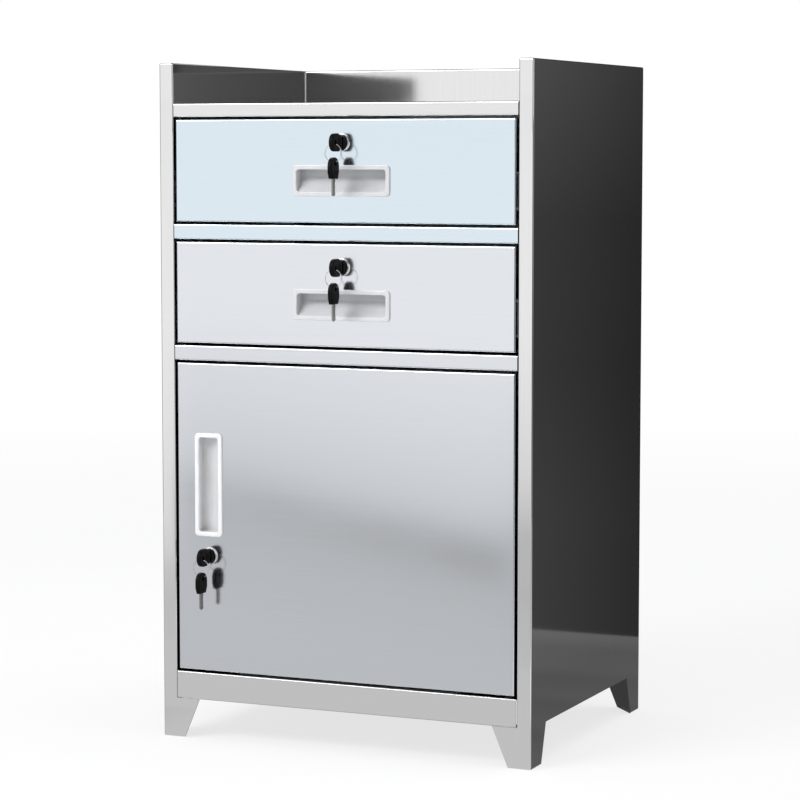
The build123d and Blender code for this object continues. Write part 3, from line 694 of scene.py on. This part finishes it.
def slide_screws():
    """Screws that hold the inner rails to the trays and the outer rails to the posts."""
    sizes = {"Radius": SLIDE_SCREW_RADIUS, "Height": SLIDE_SCREW_HEIGHT, "Shank": SCREW_SHANK}
    outer_places = []
    for drawer in DRAWERS:
        tray_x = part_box(f"{drawer}_drawer_tray")[1][0]
        places = rail_screw_places(f"{drawer}_inner_rails", tray_x + SLIDE_WEB, RIGHT)
        piece = make_fittings(f"{drawer}_inner_rail_screws", SCREW_TREE, sizes, ZINC, places)
        seat(piece, f"{drawer}_drawer")
        post_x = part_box(f"{drawer}_outer_rails")[1][0]
        outer_places += rail_screw_places(f"{drawer}_outer_rails", post_x - SLIDE_WEB, LEFT)
    piece = make_fittings("outer_rail_screws", SCREW_TREE, sizes, ZINC, outer_places)
    seat(piece, "carcass")


def clip_rivets():
    """A rivet in each shelf clip."""
    low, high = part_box("shelf_clips")
    z = low[2] + (high[2] - low[2]) * RIVET_RISE_SHARE
    places = []
    for y in (low[1] + CLIP_WIDTH / 2, high[1] - CLIP_WIDTH / 2):
        places.append(((high[0] - CLIP_SHEET, y, z), LEFT, UP))
        places.append(((low[0] + CLIP_SHEET, y, z), RIGHT, UP))
    sizes = {"Radius": RIVET_RADIUS, "Height": RIVET_HEIGHT}
    piece = make_fittings("shelf_clip_rivets", RIVET_TREE, sizes, ZINC, places)
    seat(piece, "carcass")


def rear_weld_marks():
    """Spot welds down the rear flanges of the side panels."""
    low, high = CAD_BOX
    y = high[1]
    places = []
    for index in range(WELD_COUNT):
        z = WELD_LOW + index * WELD_STEP
        places.append(((high[0] - WELD_INSET, y, z), BACK, UP))
        places.append(((low[0] + WELD_INSET, y, z), BACK, UP))
    sizes = {"Radius": WELD_RADIUS, "Height": WELD_HEIGHT}
    piece = make_fittings("rear_weld_marks", WELD_TREE, sizes, WELD_SHEET, places)
    seat(piece, "carcass")


def gallery_corner_welds():
    """A polished weld bead in each rear corner of the gallery, from the deck to the top."""
    deck_low, deck_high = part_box("top_deck")
    wall_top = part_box("back_panel")[1][2]
    places = [((x, deck_high[1], deck_high[2]), UP, BACK) for x in (deck_low[0], deck_high[0])]
    sizes = {"Radius": CORNER_BEAD, "Length": wall_top - deck_high[2] - CORNER_BEAD}
    piece = make_fittings("gallery_corner_welds", BEAD_TREE, sizes, CHROME, places)
    seat(piece, "carcass")


def cam_screws():
    """The screw behind each lock, in place of its plain solid."""
    for lock in LOCKS:
        node = f"{lock}_cam_screw"
        low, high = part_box(node)
        place = ((low[0] + high[0]) / 2, high[1] - CAM_SCREW_HEIGHT, (low[2] + high[2]) / 2)
        sizes = {"Radius": (high[0] - low[0]) / 2, "Height": CAM_SCREW_HEIGHT, "Shank": CAM_SCREW_SHANK}
        piece = make_fittings(f"{lock}_cross_screw", SCREW_TREE, sizes, ZINC, [(place, BACK, UP)])
        seat(piece, f"{lock}_lock")
        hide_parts(node)


def key_rings():
    """The wound ring of each pair of keys, in place of its plain solid."""
    for lock in LOCKS:
        node = f"{lock}_key_ring"
        low, high = (Vector(corner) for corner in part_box(node))
        radius = (high.x - low.x) / 2 - (high.y - low.y) / 2
        sizes = {"Radius": radius, "Wire": RING_WIRE, "Turns": RING_TURNS}
        places = [(tuple((low + high) / 2), BACK, UP)]
        piece = make_fittings(f"{lock}_split_ring", RING_TREE, sizes, CHROME, places)
        seat(piece, f"{lock}_ring")
        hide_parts(node)


def key_grips():
    """Ribs on both faces of every key head, across the key."""
    sizes = {"Length": RIB_LENGTH, "Width": RIB_WIDTH, "Height": RIB_HEIGHT}
    for lock in LOCKS:
        held_low, held_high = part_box(f"{lock}_key_head")
        hung_low, hung_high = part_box(f"{lock}_spare_key_head")
        held, hung = [], []
        for distance in RIB_FROM_HOLE:
            held_y = held_low[1] + KEY_HOLE_INSET + distance
            held_z = (held_low[2] + held_high[2]) / 2
            hung_y = (hung_low[1] + hung_high[1]) / 2
            hung_z = hung_high[2] - KEY_HOLE_INSET - distance
            for x, facing in ((held_high[0], RIGHT), (held_low[0], LEFT)):
                held.append(((x, held_y, held_z), facing, UP))
            for x, facing in ((hung_high[0], RIGHT), (hung_low[0], LEFT)):
                hung.append(((x, hung_y, hung_z), facing, BACK))
        piece = make_fittings(f"{lock}_key_ribs", RIB_TREE, sizes, BLACK_GRIP, held)
        seat(piece, f"{lock}_lock")
        piece = make_fittings(f"{lock}_spare_key_ribs", RIB_TREE, sizes, BLACK_GRIP, hung)
        seat(piece, f"{lock}_spare_key")


slide_screws()
clip_rivets()
rear_weld_marks()
gallery_corner_welds()
cam_screws()
key_rings()
key_grips()


# Stage

GROUND_RISE = 0.4 * MM
CABINET_X = CAD_BOX[1][0]
BACK_Y = CAD_BOX[1][1]
STAGE_X = 2.4
WIDE_X = 3.0


def graded(tree, way, stops):
    """Grey levels along a direction, from (distance in metres, level) stops."""
    coords = add(tree, "ShaderNodeTexCoord")
    reach = add(tree, "ShaderNodeVectorMath", {"operation": "DOT_PRODUCT"})
    tree.links.new(coords.outputs["Object"], reach.inputs[0])
    reach.inputs[1].default_value = way
    start, end = stops[0][0], stops[-1][0]
    share = spread(tree, reach.outputs["Value"], 0.0, 1.0, start, end)
    colour = two_tone(tree, share, grey(stops[0][1]), grey(stops[-1][1]), 0.0, 1.0)
    for distance, level in stops[1:-1]:
        stop = colour.node.color_ramp.elements.new((distance - start) / (end - start))
        stop.color = (*grey(level), 1.0)
    return colour


def stage_board(name, corners, way, stops, cross_way=None, cross_stops=None):
    """A board that only polished metal sees, with its glow graded along one way or two."""
    mesh = bpy.data.meshes.new(name)
    mesh.from_pydata(corners, [], [(0, 1, 2, 3)])
    board = bpy.data.objects.new(name, mesh)
    SCENE.collection.objects.link(board)
    material = bpy.data.materials.new(name)
    material.use_nodes = True
    tree = material.node_tree
    tree.nodes.clear()
    colour = graded(tree, way, stops)
    if cross_way:
        colour = product(tree, colour, graded(tree, cross_way, cross_stops))
    glow = add(tree, "ShaderNodeEmission", Color=colour, Strength=1.0)
    output = tree.nodes.new("ShaderNodeOutputMaterial")
    tree.links.new(glow.outputs["Emission"], output.inputs["Surface"])
    mesh.materials.append(material)
    board.visible_camera = False
    board.visible_diffuse = False
    board.visible_shadow = False
    board.visible_transmission = False


def wall(x0, x1, y, z0, z1):
    """Corners of an upright board across the view."""
    return [(x0, y, z0), (x1, y, z0), (x1, y, z1), (x0, y, z1)]


def side_wall(x, y0, y1, z0, z1):
    """Corners of an upright board beside the object."""
    return [(x, y0, z0), (x, y1, z0), (x, y1, z1), (x, y0, z1)]


def flat(x0, x1, y0, y1, z):
    """Corners of a level board."""
    return [(x0, y0, z), (x1, y0, z), (x1, y1, z), (x0, y1, z)]


def front_boards():
    """Pale board before the fronts, white above a soft grey band, and the grey ground between."""
    board_y, top_z, edge_top_z = -0.78, 0.82, 0.77
    left_x, stile_x, door_x, edge_x, right_x = -1.7, -0.556, -0.003, 0.05, 0.4
    band_left, band_middle, band_right = -0.34, -0.2, -0.02
    band_low, band_high = 0.125, 0.17
    slant = (0.145, 0.0, 1.0)
    stops = (
        (-0.09, 0.672),
        (0.0, 0.646),
        (0.08, 0.623),
        (0.11, 0.6),
        (0.14, 0.555),
        (0.165, 0.535),
        (0.2, 0.76),
        (0.22, 0.795),
        (0.25, 0.833),
        (0.3, 0.886),
        (0.36, 0.937),
        (0.42, 0.985),
        (0.48, 1.0),
        (0.82, 0.97),
    )
    stile_stops = (
        (-0.09, 0.63),
        (-0.02, 0.62),
        (0.03, 0.69),
        (0.06, 0.79),
        (0.12, 0.88),
        (0.21, 0.935),
        (0.3, 0.97),
        (0.4, 1.0),
        (0.82, 0.97),
    )
    right_stops = (
        (-0.09, 0.665),
        (0.0, 0.617),
        (0.08, 0.586),
        (0.11, 0.56),
        (0.14, 0.58),
        (0.197, 0.58),
        (0.227, 0.675),
        (0.257, 0.756),
        (0.287, 0.82),
        (0.34, 0.877),
        (0.41, 0.937),
        (0.47, 0.985),
        (0.52, 1.0),
        (0.7, 1.0),
        (0.82, 0.975),
    )
    stage_board("front_board", wall(stile_x, door_x, board_y, 0.0, top_z), slant, stops)
    stage_board("right_stile_board", wall(door_x, edge_x, board_y, 0.0, top_z), slant, right_stops)
    stage_board("right_edge_board", wall(edge_x, right_x, board_y, 0.0, edge_top_z), slant, right_stops)
    stage_board("stile_board", wall(left_x, stile_x, board_y, 0.0, top_z), slant, stile_stops)
    band_edge = (
        (band_left, band_low),
        (band_right, band_low),
        (band_right, band_high),
        (band_left, band_high),
    )
    band = [(x, board_y + MM, reach - slant[0] * x) for x, reach in band_edge]
    band_stops = ((band_left, 0.55), (band_middle, 0.51), (band_right, 0.43))
    stage_board("band_board", band, RIGHT, band_stops)
    ground_stops = ((board_y, 0.645), (FACE_Y, 0.65))
    stage_board("front_ground", flat(left_x, right_x, board_y, FACE_Y, GROUND_RISE), BACK, ground_stops)


def side_boards():
    """Dark boards behind, to the right and to the left, which the sides mirror, and the ground by them."""
    board_y, top_z, middle_z = 0.73, 1.8, 0.9
    right_end_y, left_end_y, before_y = -1.0, -1.2, FACE_Y - 0.16
    board_x, ground_x = CABINET_X + 2.0 * MM, CABINET_X + MM
    stops = ((0.0, 0.052), (0.19, 0.053), (0.415, 0.043), (0.636, 0.046), (0.857, 0.079), (1.1, 0.09))
    darker_back = ((0.42, 0.5), (0.6, 1.0), (0.9, 1.1))
    streaks = (
        (FACE_Y, 0.12),
        (-0.1, 0.115),
        (0.0, 0.1),
        (0.06, 0.112),
        (0.2, 0.1),
        (0.26, 0.112),
        (0.38, 0.1),
        (0.45, 0.115),
        (0.6, 0.11),
        (board_y, 0.14),
    )
    paler_out = ((CABINET_X, 1.0), (0.42, 0.97), (0.6, 1.18))
    before_stops = ((before_y, 0.65), (FACE_Y, 0.65))
    darker_out = ((ground_x, 1.0), (0.42, 0.85), (0.8, 0.2))
    for side, way in (("right", RIGHT), ("left", LEFT)):
        board_left, board_right = sorted((way[0] * board_x, way[0] * STAGE_X))
        ground_left, ground_right = sorted((way[0] * ground_x, way[0] * STAGE_X))
        corners = wall(board_left, board_right, board_y, 0.0, top_z)
        stage_board(f"{side}_board", corners, UP, stops, way, darker_back)
        corners = flat(ground_left, ground_right, FACE_Y, board_y, GROUND_RISE)
        stage_board(f"{side}_ground", corners, BACK, streaks, way, paler_out)
        corners = flat(ground_left, ground_right, before_y, FACE_Y, 2 * GROUND_RISE)
        stage_board(f"{side}_front_ground", corners, BACK, before_stops, way, darker_out)
    right_stops = ((0.0, 0.2), (middle_z, 0.45), (top_z, 0.8))
    stage_board("right_end", side_wall(STAGE_X, right_end_y, board_y, 0.0, top_z), UP, right_stops)
    left_stops = ((0.0, 0.06), (middle_z, 0.09), (top_z, 0.3))
    stage_board("left_end", side_wall(-STAGE_X, left_end_y, board_y, 0.0, top_z), UP, left_stops)


def rear_boards():
    """Grey board far behind, and the grey ground before it, which the back panel mirrors."""
    near_y, board_y, top_z = 0.74, 2.8, 2.6
    stops = ((0.0, 0.5), (0.5, 0.6), (1.2, 0.78), (top_z, 0.95))
    floor_stops = ((near_y, 0.42), (board_y, 0.5))
    ground_stops = ((BACK_Y, 0.36), (near_y, 0.42))
    stage_board("rear_board", wall(-WIDE_X, WIDE_X, board_y, 0.0, top_z), UP, stops)
    stage_board("rear_floor", flat(-WIDE_X, WIDE_X, near_y, board_y, GROUND_RISE), BACK, floor_stops)
    corners = flat(-CABINET_X, CABINET_X, BACK_Y, near_y, GROUND_RISE)
    stage_board("rear_ground", corners, BACK, ground_stops)


def dark_boards():
    """Dark boards about the camera, under the cabinet, behind it and over it, for lines in the bends."""
    lens_left, lens_right, lens_y, lens_low, lens_top = 0.1, 1.5, -1.7, 0.7, 3.3
    bend_left, bend_right, bend_y, bend_top = 0.42, 1.9, -0.8, 0.79
    under_front, under_back = -0.18, 0.216
    back_left, back_right, back_y, back_low, back_top = -0.6, 1.2, 1.2, 0.8, 1.5
    high_front, high_back, high_z = -2.5, 3.5, 3.3
    lens_stops = (
        (lens_left, 0.115),
        (0.456, 0.115),
        (0.526, 0.112),
        (0.595, 0.09),
        (0.666, 0.062),
        (0.7, 0.066),
        (0.78, 0.082),
        (0.867, 0.094),
        (0.955, 0.105),
        (0.985, 0.127),
        (lens_right, 0.127),
    )
    bend_stops = ((0.0, 0.4), (0.18, 0.3), (0.32, 0.05), (1.0, 0.05))
    under_stops = ((0.0, 0.05), (1.0, 0.05))
    back_stops = ((back_low, 0.083), (back_top, 0.083))
    high_stops = ((high_front, 0.4), (-1.0, 0.2), (0.5, 0.12), (high_back, 0.1))
    stage_board("lens_board", wall(lens_left, lens_right, lens_y, lens_low, lens_top), RIGHT, lens_stops)
    stage_board("bend_board", wall(bend_left, bend_right, bend_y, 0.0, bend_top), UP, bend_stops)
    corners = flat(-CABINET_X, CABINET_X, under_front, under_back, GROUND_RISE / 2)
    stage_board("under_board", corners, UP, under_stops)
    stage_board("back_board", wall(back_left, back_right, back_y, back_low, back_top), UP, back_stops)
    stage_board("high_board", flat(-WIDE_X, WIDE_X, high_front, high_back, high_z), BACK, high_stops)


def seen_directly(tree):
    """1 for rays from the camera, from a mirror or through glass, and 0 for soft light."""
    path = tree.nodes.new("ShaderNodeLightPath")
    seen = math_node(tree, "MAXIMUM", path.outputs["Is Camera Ray"], path.outputs["Is Glossy Ray"])
    return math_node(tree, "MAXIMUM", seen, path.outputs["Is Transmission Ray"])


def mix_shaders(tree, share, first, second):
    """Two shaders mixed by a share."""
    mixed = tree.nodes.new("ShaderNodeMixShader")
    tree.links.new(share, mixed.inputs["Fac"])
    tree.links.new(first, mixed.inputs[1])
    tree.links.new(second, mixed.inputs[2])
    return mixed.outputs["Shader"]


def floor():
    """Pale round floor that keeps a faint shadow and fades out into the white surround."""
    sides, radius, veil_share = 64, 7.0, 0.75
    fade_start, fade_end = 1.2, 4.0
    dark_tone, light_tone, matt = grey(0.925), grey(0.945), 0.9
    turns = [math.tau * index / sides for index in range(sides)]
    rim = [(radius * math.cos(turn), radius * math.sin(turn), 0.0) for turn in turns]
    mesh = bpy.data.meshes.new("studio_floor")
    mesh.from_pydata(rim, [], [tuple(range(sides))])
    board = bpy.data.objects.new("studio_floor", mesh)
    SCENE.collection.objects.link(board)
    material, tree, paint = surface("pale_floor")
    plain = piece_coords(tree)
    mottle = noise(tree, plain, cells=3.0, detail=3.0)
    tree.links.new(two_tone(tree, mottle, dark_tone, light_tone), paint.inputs["Base Color"])
    paint.inputs["Roughness"].default_value = matt
    paint.inputs["Specular IOR Level"].default_value = 0.0
    white = add(tree, "ShaderNodeEmission", Color=WHITE, Strength=1.0)
    veiled = scaled(tree, seen_directly(tree), veil_share)
    lit = mix_shaders(tree, veiled, paint.outputs["BSDF"], white.outputs["Emission"])
    away = add(tree, "ShaderNodeVectorMath", {"operation": "LENGTH"}, Vector=plain)
    fade = spread(tree, away.outputs["Value"], 0.0, 1.0, fade_start, fade_end)
    clear = tree.nodes.new("ShaderNodeBsdfTransparent")
    output = next(node for node in tree.nodes if node.type == "OUTPUT_MATERIAL")
    tree.links.new(mix_shaders(tree, fade, lit, clear.outputs["BSDF"]), output.inputs["Surface"])
    mesh.materials.append(material)


def surround():
    """World: white where it is seen or mirrored, and plain soft light elsewhere."""
    sky_tone, sky_strength = (0.97, 0.98, 1.0, 1.0), 0.55
    world = bpy.data.worlds.new("studio")
    SCENE.world = world
    world.use_nodes = True
    tree = world.node_tree
    tree.nodes.clear()
    soft = add(tree, "ShaderNodeBackground", Color=sky_tone, Strength=sky_strength)
    white = add(tree, "ShaderNodeBackground", Color=WHITE, Strength=1.0)
    mixed = mix_shaders(tree, seen_directly(tree), soft.outputs["Background"], white.outputs["Background"])
    output = tree.nodes.new("ShaderNodeOutputWorld")
    tree.links.new(mixed, output.inputs["Surface"])


def soft_box(name, place, target, width, height, watts, mirrored):
    """A large soft lamp aimed at a point, which polished metal mirrors or not."""
    lamp = bpy.data.lights.new(name, "AREA")
    lamp.shape = "RECTANGLE"
    lamp.size = width
    lamp.size_y = height
    lamp.energy = watts
    holder = bpy.data.objects.new(name, lamp)
    holder.location = place
    holder.rotation_euler = (Vector(target) - Vector(place)).to_track_quat("-Z", "Y").to_euler()
    holder.visible_glossy = mirrored
    SCENE.collection.objects.link(holder)


def camera():
    """The photograph's view."""
    data = bpy.data.cameras.new("camera")
    data.sensor_width = CAMERA_SENSOR
    data.lens = CAMERA_LENS
    holder = bpy.data.objects.new("camera", data)
    holder.location = CAMERA_PLACE
    holder.rotation_euler = (math.radians(LEVEL_TILT - CAMERA_PITCH), 0.0, math.radians(CAMERA_YAW))
    SCENE.collection.objects.link(holder)
    SCENE.camera = holder


camera()
surround()
floor()
front_boards()
side_boards()
rear_boards()
dark_boards()
soft_box(
    "key_light",
    place=(-1.5, -2.6, 2.9),
    target=(0.0, 0.0, 0.4),
    width=2.2,
    height=1.6,
    watts=85.0,
    mirrored=True,
)
soft_box(
    "top_light",
    place=(0.6, 0.3, 3.0),
    target=(0.0, 0.0, 0.8),
    width=2.0,
    height=2.0,
    watts=25.0,
    mirrored=False,
)
SCENE.view_settings.view_transform = "Standard"
